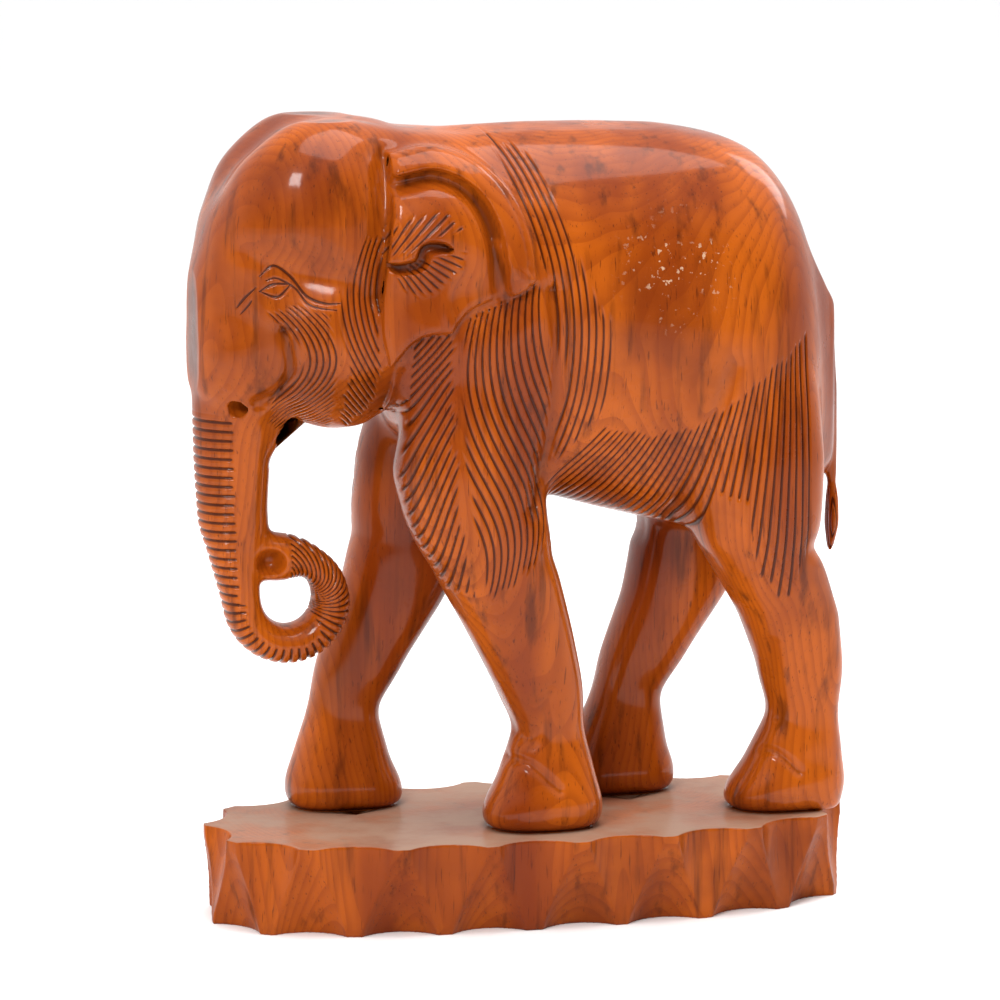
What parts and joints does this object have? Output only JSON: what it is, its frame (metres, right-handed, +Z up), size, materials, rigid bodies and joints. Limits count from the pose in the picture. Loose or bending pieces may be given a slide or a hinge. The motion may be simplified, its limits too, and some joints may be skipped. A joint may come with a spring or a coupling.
{
  "type": "carved wooden elephant figure",
  "caption": "Free-standing walking elephant carved with its oval scooped base, trunk curled back under the chin, with empty tusk sockets.",
  "frame": {"origin": "centre of the underside of the base, on the surface that it stands on", "axes": "+Z up; the head is towards -X and the tail towards +X; the animal's left side is towards -Y"},
  "size_m": [0.4187, 0.1858, 0.5035],
  "materials": {
    "lacquered_wood": "reddish-brown teak under a glossy worn lacquer, with fine gouged grooves",
    "base_wood": "the same wood, duller and dusty on top, with broad gouge scoops round its sides"
  },
  "bodies": {
    "root": {"base": "base_wood", "torso": "lacquered_wood", "head": "lacquered_wood", "lower_jaw": "lacquered_wood", "trunk": "lacquered_wood", "left_ear": "lacquered_wood", "right_ear": "lacquered_wood", "left_front_leg": "lacquered_wood", "right_front_leg": "lacquered_wood", "left_hind_leg": "lacquered_wood", "right_hind_leg": "lacquered_wood", "tail": "lacquered_wood", "tail_tuft": "lacquered_wood"}
  },
  "joints": []
}
